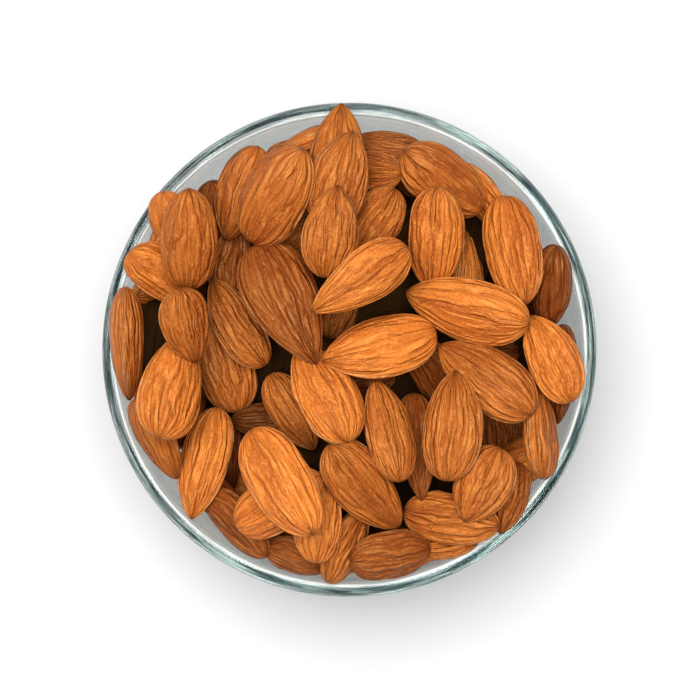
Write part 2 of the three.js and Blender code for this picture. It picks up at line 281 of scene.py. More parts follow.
CAMERA_ABOVE_RIM = 650 * MM
PHOTO_WIDTH = 700  # in pixels, as are the next two
PHOTO_MIDDLE = (349.4, 349.8)  # where the middle of the bowl is
RIM_RADIUS_PIXELS = 248.2
METRES_PER_PIXEL = RIM_RADIUS / RIM_RADIUS_PIXELS

THICKNESS_SHARE = 0.58  # of the breadth
WIDEST = 0.42  # where along the kernel it is widest, from its blunt end
BLUNT_POWER = 2.2  # how squarely its blunt end is rounded
POINT_POWERS = (2.1, 0.75)  # how full its sides run towards the point
FLANK_POWER = 0.9  # its thickness follows its breadth by this power
GLASS_GAP = 0.35 * MM
WALL_POINTS, FINE_WALL_POINTS = 100, 200  # of the wall's curve, when its radius is looked up
HIDDEN_COUNT = 56
HIDDEN_LENGTHS = (21 * MM, 27 * MM)
HIDDEN_BREADTHS = (0.5, 0.58)  # shares of the length
HIDDEN_SPREAD = 49 * MM
TRIES = 14  # places tried for each hidden almond, of which the lowest is taken
SHADED = -5.4  # the tone of painted shade, nearly black, for almonds so deep that hardly any light comes to them
NEAR_GLASS = 8 * MM  # within this of the glass, an almond is lit through it
LIT_TONES = (-2, 1)  # of the hidden almonds that are
LEANING_SEED = 11
LEANING_HEIGHTS = (7 * MM, 46 * MM)  # of the almonds that lean on the glass
LEANING_TRIES = 2600
LEANING_TONES = (0.6, 2.0)  # painted light: bright, as they are seen through the glass
BURIED_LIMIT = 0.28  # largest share of one's skin that may lie inside the others
WELL_INSIDE = 0.9  # an almond's surface is at 1, and a point within this is inside it
BARE_LIMIT = 0.12  # largest share of its skin that may be seen from above
COVER = 2 * MM  # a point with less than this lying over it is bare
DEEP = 30 * MM  # below this height, what shows from above is in the dark
SPARSE_SKIN = (12, 14)  # rings and sides of the points that tell whether it fits
CELL = 0.8 * MM  # grid of the height map that the almonds settle on
MAP_HALF = 84
PRESSED = np.array([0.93, 0.86, 0.84])  # shares of their size at which almonds touch
HIDDEN_SWING, SHOWN_SWING = math.radians(14), math.radians(9)
UPRIGHT_COST = 0.05 * MM  # by how much a step of rocking has to lower it
TOUCHING_SKIN = (22, 26)  # rings and sides of the points that feel for a place to rest
MAPPED_SKIN = (60, 72)  # of those that raise the height map
# One unpatterned series of numbers from 0 to 1 for each thing that varies among hidden almonds.
SERIES = {
    "length": 0.618034,
    "breadth": 0.414214,
    "away": 0.754878,
    "round": 0.56984,
    "heading": 0.324718,
    "tone": 0.70711,
}

# Kernels differ in outline: where each is widest, how square its blunt end is, how it runs to its
# point, and how far its point leans to one side.
KERNELS = {
    "plain": (WIDEST, BLUNT_POWER, POINT_POWERS, 0.00),
    "full": (0.46, 2.5, (2.5, 0.62), 0.02),
    "tapering": (0.36, 2.3, (1.75, 0.82), -0.03),
    "egg": (0.37, 2.4, (2.0, 0.66), 0.04),
    "leaning": (0.43, 2.2, (2.1, 0.74), -0.09),
}
# The almonds that show, lowest first: blunt end x y, pointed end x y and breadth as seen, in
# pixels of the 700 x 700 photograph, then how much higher the point lies in millimetres, how far
# the almond is rolled on to its edge in degrees, its tone, from dull (-2) to bright (2), which
# holds painted light and shade as well as its own colour, or less than -2 for painted shade where
# it lies in the dark, and which of the kernels above it is.
SHOWN = [
    (214, 182, 224, 262, 44, -3, 20, -2, 0),
    (426, 155, 346, 141, 37, 0, 25, -1, 0),
    (563, 324, 557, 424, 36, 0, 60, -2, 0),
    (226, 415, 229, 494, 36, 0, 0, -2, 0),
    (232, 420, 312, 425, 36, 0, 0, -4, 0),
    (497, 396, 500, 478, 42, -2, 30, -1, 0),
    (330, 222, 262, 254, 44, -2, 20, 0, 0),
    (518, 462, 500, 534, 40, -3, 35, -1, 0),
    (226, 304, 238, 222, 42, 2, 30, -1, 0),
    (139, 398, 176, 480, 46, -2, 25, 0, 0),
    (266, 546, 330, 570, 42, 2, 25, -1, 0),
    (478, 538, 400, 552, 32, 0, 40, 0, 0),
    (164, 193, 190, 268, 42, -4, 40, 1, 0),
    (458, 166, 514, 236, 42, 0, 35, 1, 0),
    (556, 247, 545, 330, 40, -3, 55, -2, 0),
    (207, 494, 268, 556, 42, 0, 30, -1, 1),
    (266, 158, 330, 152, 38, 0, 50, 0, 0),
    (327, 582, 367, 505, 32, 3, 75, 0, 0),
    (468, 322, 466, 229, 32, 6, 75, 2, 2),
    (398, 368, 326, 388, 40, 0, 25, -1, 0),
    (416, 340, 462, 415, 50, -3, 5, -1, 0),
    (401, 177, 316, 180, 40, -3, 30, 0, 0),
    (543, 479, 538, 384, 44, 2, 40, 0, 0),
    (329, 338, 352, 258, 38, 2, 30, -1, 0),
    (130, 252, 190, 306, 50, 0, 10, 1, 3),
    (350, 560, 431, 551, 51, 0, 10, -1, 1),
    (126, 287, 128, 402, 36, 0, 75, 0, 4),
    (270, 374, 315, 450, 40, 0, 30, 0, 0),
    (519, 350, 440, 364, 44, 0, 15, -1, 0),
    (329, 203, 342, 104, 56, 8, 0, 0, 0),
    (238, 412, 212, 320, 57, 0, 5, 0, 1),
    (404, 512, 499, 526, 50, 0, 15, 0, 1),
    (316, 563, 326, 468, 47, 3, 20, 1, 0),
    (410, 393, 421, 497, 42, 2, 25, -1, 2),
    (259, 147, 226, 240, 46, -3, 35, 0, 0),
    (236, 528, 322, 476, 56, 0, 10, 2, 1),
    (329, 444, 398, 530, 60, -1, 5, 0, 3),
    (396, 190, 348, 264, 50, 0, 15, 0, 1),
    (571, 402, 531, 315, 52, 2, 15, 2, 0),
    (160, 438, 186, 336, 66, 0, 5, 1, 3),
    (403, 152, 482, 211, 60, -3, 8, 0, 1),
    (265, 366, 208, 281, 47, -1, 20, 0, 4),
    (326, 227, 353, 131, 62, 2, 5, 0, 0),
    (503, 196, 522, 306, 60, 0, 8, 1, 1),
    (532, 414, 440, 345, 63, 2, 8, 0, 0),
    (180, 289, 193, 363, 51, -14, 0, 0, 3),
    (348, 442, 299, 343, 66, -2, 5, 1, 0),
    (217, 408, 192, 519, 54, -2, 10, 1, 0),
    (501, 448, 464, 522, 60, -5, 5, 0, 0),
    (437, 188, 431, 288, 56, 0, 5, 1, 1),
    (188, 289, 191, 189, 57, 0, 10, 0, 1),
    (400, 481, 375, 379, 52, 0, 10, 0, 0),
    (251, 430, 313, 535, 64, -1, 5, 2, 1),
    (250, 241, 305, 150, 69, 0, 5, 0, 1),
    (436, 331, 322, 361, 65, 0, 5, 2, 0),
    (325, 278, 338, 185, 57, -4, 0, 0, 0),
    (447, 481, 456, 370, 61, 0, 5, 0, 0),
    (257, 243, 319, 364, 77, -2, 5, -1, 2),
    (528, 323, 406, 292, 65, 0, 5, 1, 0),
    (408, 247, 312, 314, 56, -3, 8, 1, 2),
]


def outline(s, widest=WIDEST, blunt=BLUNT_POWER, point=POINT_POWERS):
    """Half the breadth at s, from 0 at the blunt end to 1 at the point, as a share."""
    low = np.sqrt(np.maximum(1 - (np.abs(widest - s) / widest) ** blunt, 0))
    high = np.maximum(1 - (np.maximum(s - widest, 0) / (1 - widest)) ** point[0], 0) ** point[1]
    return np.where(s < widest, low, high)


def skin_points(size, rings, sides):
    """Points all over an almond of this length, breadth and thickness, lying along x."""
    s = (1 - np.cos(np.pi * np.arange(1, rings + 1) / (rings + 1))) / 2
    a = 2 * math.pi * (np.arange(sides) + 0.5) / sides
    x = np.repeat((s - 0.5)[:, None], sides, 1)
    y = outline(s)[:, None] * np.cos(a) / 2
    z = (outline(s) ** FLANK_POWER)[:, None] * np.sin(a) / 2
    points = np.stack([x, y, z], -1).reshape(-1, 3)
    return np.vstack([[[-0.5, 0, 0]], points, [[0.5, 0, 0]]]) * size


def turned(heading, pitch, roll):
    """The directions of an almond's length, breadth and thickness, as columns."""
    level = np.array([-math.sin(heading), math.cos(heading), 0])
    flat = math.cos(pitch)
    along = np.array([math.cos(heading) * flat, math.sin(heading) * flat, math.sin(pitch)])
    across = level * math.cos(roll) + np.cross(along, level) * math.sin(roll)
    return np.stack([along, across, np.cross(along, across)], 1)


def glass_height(distance):
    """Height of the inside of the bowl, or of its rim, under points this far from the middle."""
    r = distance + GLASS_GAP / 2
    wall = np.interp(r, *inner_wall(FINE_WALL_POINTS).T)
    across = np.minimum(np.abs(r - RIM_MIDDLE), RIM_WALL / 2)
    rim = RIM_START + np.sqrt((RIM_WALL / 2) ** 2 - across**2)
    return np.where(r > RIM_RADIUS - RIM_WALL, rim, wall) + GLASS_GAP


cells = np.arange(-MAP_HALF, MAP_HALF + 1) * CELL
heights = glass_height(np.hypot(cells[:, None], cells[None, :]))


def cell_of(points):
    """The cells of the height map under these points."""
    return tuple((np.rint(points[:, :2] / CELL).astype(int) + MAP_HALF).T)


def rock(almond, x, y, swing):
    """Lets an almond rock, from the way it was put down, to where its middle lies lowest."""
    best = None
    for pitch_step in (-2, -1, 0, 1, 2):
        for roll_step in (-2, -1, 0, 1, 2):
            pitch = almond["pitch"] + pitch_step * swing
            length = almond["run"] / math.cos(pitch) if "run" in almond else almond["length"]
            size = np.array([length, almond["breadth"], almond["breadth"] * THICKNESS_SHARE])
            way = turned(almond["heading"], pitch, almond["roll"] + roll_step * swing)
            points = skin_points(size * PRESSED, *TOUCHING_SKIN) @ way.T
            z = (heights[cell_of(points + (x, y, 0))] - points[:, 2]).max()
            score = z + UPRIGHT_COST * (abs(pitch_step) + abs(roll_step))
            if best is None or score < best["score"]:
                best = {"score": score, "place": (x, y, z), "size": size, "way": way}
    return best


def leave(rested):
    """Leaves an almond where it came to rest, and raises the height map over it."""
    points = skin_points(rested["size"] * PRESSED, *MAPPED_SKIN) @ rested["way"].T + rested["place"]
    np.maximum.at(heights, cell_of(points), points[:, 2])
    return rested


def spread(n, kind):
    """The nth number of one of the series, from 0 to 1."""
    return (0.5 + n * SERIES[kind]) % 1


def hidden_almond(n):
    """An almond under those that show, at the lowest of the places where it is tried."""
    short, long = HIDDEN_LENGTHS
    slim, broad = HIDDEN_BREADTHS
    length = short + (long - short) * spread(n, "length")
    breadth = length * (slim + (broad - slim) * spread(n, "breadth"))
    tries = []
    for k in range(n * TRIES, (n + 1) * TRIES):
        away = HIDDEN_SPREAD * math.sqrt(spread(k, "away"))
        angle = 2 * math.pi * spread(k, "round")
        heading = 2 * math.pi * spread(k, "heading")
        almond = {"length": length, "breadth": breadth, "heading": heading, "pitch": 0, "roll": 0}
        tries.append(rock(almond, away * math.cos(angle), away * math.sin(angle), HIDDEN_SWING))
    rested = leave(min(tries, key=lambda one: one["score"]))
    x, y, z = rested["place"]
    wall = inner_wall(WALL_POINTS)
    inside = np.interp(z, wall[:, 1], wall[:, 0]) - math.hypot(x, y)
    dull, bright = LIT_TONES
    # deep inside the heap an almond gets the nearly black tone of painted shade
    if inside > NEAR_GLASS:
        tone = SHADED + spread(n, "tone")
    else:
        tone = dull + (bright - dull) * spread(n, "tone")
    rested.update(tone=tone, shape=n % len(KERNELS))
    return rested


def shown_almond(blunt_x, blunt_y, point_x, point_y, seen_breadth, rise, roll, tone, shape):
    """An almond read from the photograph. Its size and place grow or shrink with its height
    below or above the rim, so it is put down twice, the second time for the height found first."""
    roll = math.radians(roll)
    z = RIM_TOP
    for _ in range(2):
        scale = METRES_PER_PIXEL * (1 - (z - RIM_TOP) / CAMERA_ABOVE_RIM)
        dx, dy = (point_x - blunt_x) * scale, (blunt_y - point_y) * scale
        run = math.hypot(dx, dy)
        flat = math.hypot(math.cos(roll), THICKNESS_SHARE * math.sin(roll))
        almond = {
            "run": run,
            "breadth": seen_breadth * scale / flat,
            "heading": math.atan2(dy, dx),
            "pitch": math.atan2(rise * MM, run),
            "roll": roll,
        }
        x = ((blunt_x + point_x) / 2 - PHOTO_MIDDLE[0]) * scale
        y = (PHOTO_MIDDLE[1] - (blunt_y + point_y) / 2) * scale
        rested = rock(almond, x, y, SHOWN_SWING)
        z = rested["place"][2]
    rested.update(tone=tone, shape=shape)
    return leave(rested)


def on_glass(rng):
    """An almond lying flat against the inside of the glass, at some height, turned some way. It
    is moved to the glass in steps, as the wall curves along its length."""
    wall = inner_wall(WALL_POINTS)
    z = rng.uniform(*LEANING_HEIGHTS)
    angle = rng.uniform(0, 2 * math.pi)
    slope = np.interp(z, wall[1:, 1], np.diff(wall[:, 0]) / np.diff(wall[:, 1]))
    out = np.array([math.cos(angle), math.sin(angle), 0])
    inwards = np.append(-out[:2], slope) / math.hypot(1, slope)
    level = np.array([-math.sin(angle), math.cos(angle), 0])
    turn = rng.uniform(0, 2 * math.pi)
    along = level * math.cos(turn) + np.cross(inwards, level) * math.sin(turn)
    way = np.stack([along, np.cross(inwards, along), inwards], 1)
    length = rng.uniform(*HIDDEN_LENGTHS)
    breadth = length * rng.uniform(*HIDDEN_BREADTHS)
    size = np.array([length, breadth, breadth * THICKNESS_SHARE])
    points = skin_points(size * PRESSED, *SPARSE_SKIN) @ way.T
    place = out * np.interp(z, wall[:, 1], wall[:, 0]) + (0, 0, z)
    for _ in range(3):
        there = points + place
        room = np.interp(there[:, 2], wall[:, 1], wall[:, 0]) - np.hypot(there[:, 0], there[:, 1])
        place = place + inwards * (GLASS_GAP - room.min())
    tone, shape = rng.uniform(*LEANING_TONES), int(rng.integers(len(KERNELS)))
    return {"place": tuple(place), "size": size, "way": way, "tone": tone, "shape": shape}


def buried(almond, others):
    """The share of an almond's skin that would be inside others."""
    points = skin_points(almond["size"], *SPARSE_SKIN) @ almond["way"].T + almond["place"]
    inside = np.zeros(len(points), bool)
    for other in others:
        if math.dist(almond["place"], other["place"]) < (almond["size"][0] + other["size"][0]) / 2:
            local = (points - other["place"]) @ other["way"] / (other["size"] / 2)
            inside |= (local**2).sum(1) < WELL_INSIDE
    return inside.mean()


def seen_from_above(almond):
    """The share of it that no almond covers, if it lies high enough to catch the light."""
    points = skin_points(almond["size"], *SPARSE_SKIN) @ almond["way"].T + almond["place"]
    bare = heights[cell_of(points)] < points[:, 2] + COVER
    return bare.mean() if points[:, 2].max() > DEEP else 0


def leaning_almonds(lying):
    """The almonds that lie against the glass between those already there, put in one by one
    wherever one more fits."""
    rng = np.random.default_rng(LEANING_SEED)
    leaning = []
    for _ in range(LEANING_TRIES):
        almond = on_glass(rng)
        if buried(almond, lying + leaning) < BURIED_LIMIT and seen_from_above(almond) < BARE_LIMIT:
            leaning.append(almond)
    return leaning


DEEP_SIZE = (24 * MM, 13 * MM)  # length and breadth
# Almonds deep in the gaps between the upper ones, nearly black with painted shade: the middle of
# each in pixels of the photograph, its heading in degrees, and how far it has sunk between those
# below it.
DEEP_IN_GAPS = [
    (394, 303, 25, 4 * MM),
    (514, 350, 100, 3 * MM),
    (400, 396, -35, 4 * MM),
    (276, 354, 70, 4 * MM),
    (147, 332, 82, 0),
    (412, 486, 60, 4 * MM),
    (318, 455, 150, 4 * MM),
    (482, 238, 80, 4 * MM),
]


def deep_almond(x, y, heading, sunk):
    """An almond deep in a gap, nearly black with painted shade. Nothing settles on it, so the
    height map stays as it is.
    """
    length, breadth = DEEP_SIZE
    heading = math.radians(heading)
    almond = {"length": length, "breadth": breadth, "heading": heading, "pitch": 0, "roll": 0}
    x, y = (x - PHOTO_MIDDLE[0]) * METRES_PER_PIXEL, (PHOTO_MIDDLE[1] - y) * METRES_PER_PIXEL
    rested = rock(almond, x, y, HIDDEN_SWING)
    rested["place"] = (x, y, rested["place"][2] - sunk)
    rested.update(tone=SHADED, shape=0)
    return rested


hidden = [hidden_almond(n) for n in range(HIDDEN_COUNT)]
hidden += [deep_almond(*row) for row in DEEP_IN_GAPS]
shown = [shown_almond(*row) for row in SHOWN]
leaning = leaning_almonds(hidden + shown)


KEEL = (1.10, 1.12)  # the two faces meet in a soft keel: powers of the section across and up


def kernel(name, rings, sides):
    """One almond a unit long, broad and thick. It keeps at each point the direction round its
    length and the distance along it, for the wrinkles of its skin to follow."""
    widest, blunt, point, lean = KERNELS[name]
    s = (1 - np.cos(np.pi * np.arange(1, rings + 1) / (rings + 1))) / 2
    a = 2 * math.pi * (np.arange(sides) + 0.5) / sides
    across = np.sign(np.cos(a)) * np.abs(np.cos(a)) ** KEEL[0]
    up = np.sign(np.sin(a)) * np.abs(np.sin(a)) ** KEEL[1]
    share = outline(s, widest, blunt, point)
    x = np.repeat((s - 0.5)[:, None], sides, 1)
    y = share[:, None] * across / 2 + lean * (s * s)[:, None]
    z = (share**FLANK_POWER)[:, None] * up / 2
    points = np.stack([x, y, z], -1).reshape(-1, 3)
    points = np.vstack([[[-0.5, 0, 0]], points, [[0.5, lean, 0]]])
    around = np.broadcast_to(np.stack([np.cos(a), np.sin(a)], -1), (rings, sides, 2))
    skin = np.concatenate([around, np.repeat(s[:, None], sides, 1)[..., None]], -1).reshape(-1, 3)
    skin = np.vstack([[[0, 0, 0]], skin, [[0, 0, 1]]])
    last = len(points) - 1
    faces = []
    for j in range(sides):
        k = (j + 1) % sides
        faces.append((0, 1 + k, 1 + j))
        faces.append((last, last - sides + j, last - sides + k))
        for i in range(rings - 1):
            low, high = 1 + i * sides, 1 + (i + 1) * sides
            faces.append((low + j, low + k, high + k, high + j))
    mesh = bpy.data.meshes.new(name)
    mesh.from_pydata(points.tolist(), [], faces)
    mesh.shade_smooth()
    mesh.attributes.new("skin", "FLOAT_VECTOR", "POINT").data.foreach_set("vector", skin.ravel())
    return bpy.data.objects.new(name, mesh)


WRINKLES = {
    "Wrinkles Around": 2.5,  # how close they lie round the kernel
    "Wrinkles Along": 1.05,  # and how often they break along it
    "Wander": 0.32,
    "Wrinkle Width": 0.13,
    "Wrinkle Depth": 0.21 * MM,
    "Lump Height": 0.95 * MM,
}
LUMP_PACE = (0.9, 0.9, 2.4)  # how close its lumps lie, round the kernel and along it
DRIFT_SCALE = 1.6  # how close the bends in its wrinkles lie, against the lumps
OWN_STEPS = (1.7, 2.3)  # how an almond's mark moves it to a stretch of the noise of its own
SUNK_SHARE = 0.7  # of the wrinkles' depth lies below the smooth kernel, the rest above it
END_FADE = 3.0  # how soon the wrinkles reach their full depth from the ends


def wrinkle(wiring, at, detail, width):
    """0 in the bottom of a wrinkle, 1 on the rounded ridges between: wrinkles run where an even
    noise crosses its middle, so they wander, fork and meet as real ones do."""
    level = wiring.noise(at, 1.0, detail)
    off = wiring.sums("ABSOLUTE", wiring.sums("SUBTRACT", level, 0.5))
    return wiring.stretch(off, 0.0, width)


def heap_tree():
    """Sets a kernel at each point of a mesh, turned and sized by the point's attributes, makes
    them real, and bends, dents and wrinkles each in its own way."""
    tree = bpy.data.node_groups.new("strewn_almonds", "GeometryNodeTree")
    put = tree.interface.new_socket
    put("Geometry", in_out="INPUT", socket_type="NodeSocketGeometry")
    put("Kernels", in_out="INPUT", socket_type="NodeSocketCollection")
    put("Skin", in_out="INPUT", socket_type="NodeSocketMaterial")
    for name in WRINKLES:
        put(name, in_out="INPUT", socket_type="NodeSocketFloat")
    put("Geometry", in_out="OUTPUT", socket_type="NodeSocketGeometry")
    nodes = Wiring(tree)
    given = nodes.add("NodeGroupInput").outputs

    def read(name, kind):
        node = nodes.add("GeometryNodeInputNamedAttribute", {"Name": name}, data_type=kind)
        return node.outputs["Attribute"]

    def move(geometry, offset):
        sockets = {"Geometry": geometry, "Offset": offset}
        return nodes.add("GeometryNodeSetPosition", sockets).outputs[0]

    kernels = nodes.add("GeometryNodeCollectionInfo", {"Collection": given["Kernels"]})
    kernels.inputs["Separate Children"].default_value = True
    turn = nodes.add("FunctionNodeEulerToRotation", {0: read("turn", "FLOAT_VECTOR")})
    sockets = {
        "Points": given["Geometry"],
        "Instance": kernels.outputs[0],
        "Pick Instance": True,
        "Instance Index": read("shape", "INT"),
        "Rotation": turn.outputs[0],
        "Scale": read("size", "FLOAT_VECTOR"),
    }
    strewn = nodes.add("GeometryNodeInstanceOnPoints", sockets)
    real = nodes.add("GeometryNodeRealizeInstances", {0: strewn.outputs[0]}).outputs[0]

    skin = read("skin", "FLOAT_VECTOR")
    along = nodes.add("ShaderNodeSeparateXYZ", {0: skin}).outputs["Z"]
    left = nodes.sums("SUBTRACT", 1.0, along)
    middling = nodes.sums("MULTIPLY", nodes.sums("MULTIPLY", along, left), 4.0)
    bent = move(real, nodes.scaled(read("bow", "FLOAT_VECTOR"), middling))

    mark = read("mark", "FLOAT")
    own = nodes.vector(mark, *(nodes.sums("MULTIPLY", mark, step) for step in OWN_STEPS))
    lumpy = nodes.vectors("ADD", nodes.vectors("MULTIPLY", skin, LUMP_PACE), own)
    lump = nodes.sums("SUBTRACT", nodes.noise(lumpy, 1.0, 1.0), 0.5)
    lump = nodes.sums("MULTIPLY", lump, given["Lump Height"])
    normal = nodes.add("GeometryNodeInputNormal").outputs[0]
    dented = move(bent, nodes.scaled(normal, nodes.sums("MULTIPLY", lump, middling)))

    drift = nodes.noise(lumpy, DRIFT_SCALE, 1.0, output=1)
    drift = nodes.vectors("SUBTRACT", drift, (0.5, 0.5, 0.5))
    drift = nodes.scaled(drift, given["Wander"])
    pace = nodes.vector(given["Wrinkles Around"], given["Wrinkles Around"], given["Wrinkles Along"])
    grain = nodes.vectors("ADD", skin, drift)
    grain = nodes.vectors("ADD", nodes.vectors("MULTIPLY", grain, pace), own)
    sockets = {"Geometry": dented, "Name": "grain", "Value": grain}
    keep = "GeometryNodeStoreNamedAttribute"
    kept = nodes.add(keep, sockets, data_type="FLOAT_VECTOR", domain="POINT")

    ridges = wrinkle(nodes, read("grain", "FLOAT_VECTOR"), 1.0, given["Wrinkle Width"])
    depth = nodes.sums("SUBTRACT", ridges, SUNK_SHARE)
    depth = nodes.sums("MULTIPLY", depth, given["Wrinkle Depth"])
    fade = nodes.sums("MINIMUM", nodes.sums("MULTIPLY", middling, END_FADE), 1.0)
    wrinkled = move(kept.outputs[0], nodes.scaled(normal, nodes.sums("MULTIPLY", depth, fade)))
    sockets = {"Geometry": wrinkled, "Material": given["Skin"]}
    finish = nodes.add("GeometryNodeSetMaterial", sockets)
    nodes.add("NodeGroupOutput", {0: finish.outputs[0]})
    return tree


# The skin's colours: in its wrinkles, on its plain places, painted highlights on its ridges, and
# under dust and painted sheen.
WRINKLE_BROWN = (0.180, 0.033, 0.0055)
REDDISH = (0.275, 0.056, 0.0085)
ORANGE = (0.390, 0.096, 0.0145)
HIGHLIGHT_TAN = (0.545, 0.172, 0.0320)
DUST_AND_SHEEN = (0.560, 0.270, 0.1050)
DARKEST, BRIGHTEST = (0.42, 0.36, 0.40), (1.30, 1.42, 1.40)  # of tones from -2 to 2, which hold painted light and shade as well as each almond's own colour
DULL, BRIGHT, UNLIT = -2.0, 2.0, -6.0  # the ends of the tones, and where painted shade makes it nearly black
NEARLY_BLACK = 0.02
# Its patterns: how wide the creases, the pillows between them and the finest lines are, how close
# other patterns lie against the wrinkles, round the kernel and along it, and grains to the metre.
CREASE_WIDTH, PILLOW_WIDTH, LINE_WIDTH = 0.032, 0.15, 0.06
LINE_PACE, DIMPLE_PACE = (1.8, 1.8, 1.9), (1.8, 1.8, 4.6)
FIBRE_PACE, PATCH_PACE = (4.2, 4.2, 1.8), (0.45, 0.45, 0.8)
GRIT, SPECKS = 1700.0, 500.0
SKIN_RELIEF = 0.32 * MM
SKIN_SHINE, SHINE_COLOUR = 0.42, (1.0, 0.64, 0.24)


def almond_skin():
    """Brown skin with darker creases, partly painted shade, painted highlights on its ridges, fine
    grit, a pale line of dust and painted sheen on its keel, and painted light and shade in its
    tones.
    """
    material = bpy.data.materials.new("almond_skin")
    material.use_nodes = True
    nodes = Wiring(material.node_tree)
    shader = material.node_tree.nodes["Principled BSDF"]

    def attribute(name, output):
        return nodes.add("ShaderNodeAttribute", attribute_name=name).outputs[output]

    def mix(way, amount, first, second):
        node = nodes.add("ShaderNodeMix", data_type="RGBA", blend_type=way)
        nodes.join(amount, node.inputs["Factor"])
        for value, socket in ((first, node.inputs[6]), (second, node.inputs[7])):
            nodes.join((*value, 1) if isinstance(value, tuple) else value, socket)
        return node.outputs[2]

    grain = attribute("grain", "Vector")
    skin = nodes.add("ShaderNodeSeparateXYZ", {0: attribute("skin", "Vector")}).outputs
    place = nodes.add("ShaderNodeTexCoord").outputs["Object"]

    crease = wrinkle(nodes, grain, 1.0, CREASE_WIDTH)
    pillow = wrinkle(nodes, grain, 1.0, PILLOW_WIDTH)
    fine = wrinkle(nodes, nodes.vectors("MULTIPLY", grain, LINE_PACE), 1.0, LINE_WIDTH)
    dimple = nodes.noise(nodes.vectors("MULTIPLY", grain, DIMPLE_PACE), 1.0, 2.0)
    fibre = nodes.noise(nodes.vectors("MULTIPLY", grain, FIBRE_PACE), 1.0, 3.0)
    patch = nodes.noise(nodes.vectors("MULTIPLY", grain, PATCH_PACE), 1.0, 2.0)

    colour = mix("MIX", nodes.stretch(patch, 0.30, 0.58), REDDISH, ORANGE)
    # painted highlight: the pillows between the wrinkles are lighter in patches
    ridge_highlight = nodes.sums("MULTIPLY", nodes.stretch(dimple, 0.48, 0.70), pillow)
    colour = mix("MIX", nodes.sums("MULTIPLY", ridge_highlight, 0.55), colour, HIGHLIGHT_TAN)
    dark_fibre = nodes.stretch(fibre, 0.46, 0.26, 0.0, 0.20)
    colour = mix("MIX", dark_fibre, colour, WRINKLE_BROWN)
    # painted highlight along the crests of the ridges
    crest_highlight = nodes.sums("MULTIPLY", nodes.stretch(fine, 1.0, 0.0, 0.0, 0.36), pillow)
    colour = mix("MIX", crest_highlight, colour, HIGHLIGHT_TAN)
    # fine grit of paler and darker specks; the paler ones are partly painted sparkle
    grit = nodes.noise(place, GRIT, 2.0)
    colour = mix("MIX", nodes.stretch(grit, 0.50, 0.72, 0.0, 0.40), colour, HIGHLIGHT_TAN)
    colour = mix("MIX", nodes.stretch(grit, 0.46, 0.26, 0.0, 0.40), colour, WRINKLE_BROWN)
    # the creases darker, most in the middle of the kernel: partly the skin's own colour, partly
    # painted shade
    from_middle = nodes.sums("ABSOLUTE", nodes.sums("SUBTRACT", skin["Z"], 0.5))
    towards_ends = nodes.stretch(from_middle, 0.28, 0.50, 1.0, 0.35)
    lines = nodes.sums("MULTIPLY", nodes.stretch(crease, 1.0, 0.0, 0.0, 0.50), towards_ends)
    colour = mix("MIX", lines, colour, WRINKLE_BROWN)

    # a pale line along the keel: partly dust, partly painted sheen
    keel = nodes.stretch(nodes.sums("ABSOLUTE", skin["X"]), 0.955, 0.995)
    specks = nodes.stretch(nodes.noise(place, SPECKS, 2.0), 0.35, 0.65, 0.05, 0.36)
    colour = mix("MIX", nodes.sums("MULTIPLY", keel, specks), colour, DUST_AND_SHEEN)
    # each almond's tone: its own colour together with painted light and shade
    tone = nodes.stretch(attribute("tone", "Fac"), DULL, BRIGHT)
    colour = mix("MULTIPLY", 1.0, colour, mix("MIX", tone, DARKEST, BRIGHTEST))
    # painted shade: tones below dull darken towards nearly black
    shade = nodes.stretch(attribute("tone", "Fac"), UNLIT, DULL, NEARLY_BLACK)
    colour = mix("MULTIPLY", 1.0, colour, nodes.vector(shade, shade, shade))
    tip = nodes.sums("MULTIPLY", nodes.stretch(skin["Z"], 0.955, 1.0), 0.55)
    colour = mix("MIX", tip, colour, WRINKLE_BROWN)
    nodes.join(colour, shader.inputs["Base Color"])

    gloss = nodes.stretch(fibre, 0.35, 0.65, 0.52, 0.32)
    dull = nodes.sums("SUBTRACT", 1.0, shade)
    nodes.join(nodes.sums("MAXIMUM", gloss, dull), shader.inputs["Roughness"])
    shader.inputs["Specular IOR Level"].default_value = SKIN_SHINE
    shader.inputs["Specular Tint"].default_value = (*SHINE_COLOUR, 1)

    height = nodes.sums("SUBTRACT", pillow, nodes.sums("MULTIPLY", fine, 0.45))
    for pattern, share in ((dimple, 1.5), (fibre, 0.25), (grit, 0.30)):
        height = nodes.sums("ADD", height, nodes.sums("MULTIPLY", pattern, share))
    sockets = {"Strength": 1.0, "Distance": SKIN_RELIEF, "Height": height}
    nodes.join(nodes.add("ShaderNodeBump", sockets).outputs[0], shader.inputs["Normal"])
    return material


def keep_off_glass(mesh):
    """Where an almond leans on the glass, its skin gives way by a fraction of a millimetre."""
    points = np.empty(len(mesh.vertices) * 3)
    mesh.vertices.foreach_get("co", points)
    points = points.reshape(-1, 3)
    rounding = arc((RIM_MIDDLE, RIM_START), RIM_WALL / 2, 180, 90, 9)
    wall = np.vstack([inner_wall(WALL_POINTS), rounding[1:]])
    limit = np.interp(points[:, 2], wall[:, 1], wall[:, 0]) - GLASS_GAP / 2
    limit = np.where(points[:, 2] > RIM_TOP, 2 * RIM_RADIUS, limit)
    away = np.maximum(np.hypot(points[:, 0], points[:, 1]), 1e-9)
    points[:, :2] *= np.minimum(1, limit / away)[:, None]
    points[:, 2] = np.maximum(points[:, 2], FLOOR_HEIGHT + GLASS_GAP / 2)
    mesh.vertices.foreach_set("co", points.ravel())
    mesh.update()


almond_material = almond_skin()
strewn_almonds = heap_tree()
BOW = 0.35 * MM  # how much a kernel's middle bends to one side, as a spread
PIECE_STEP, ALMOND_STEP = 13.7, 3.1  # the marks of pieces and of almonds lie this far apart


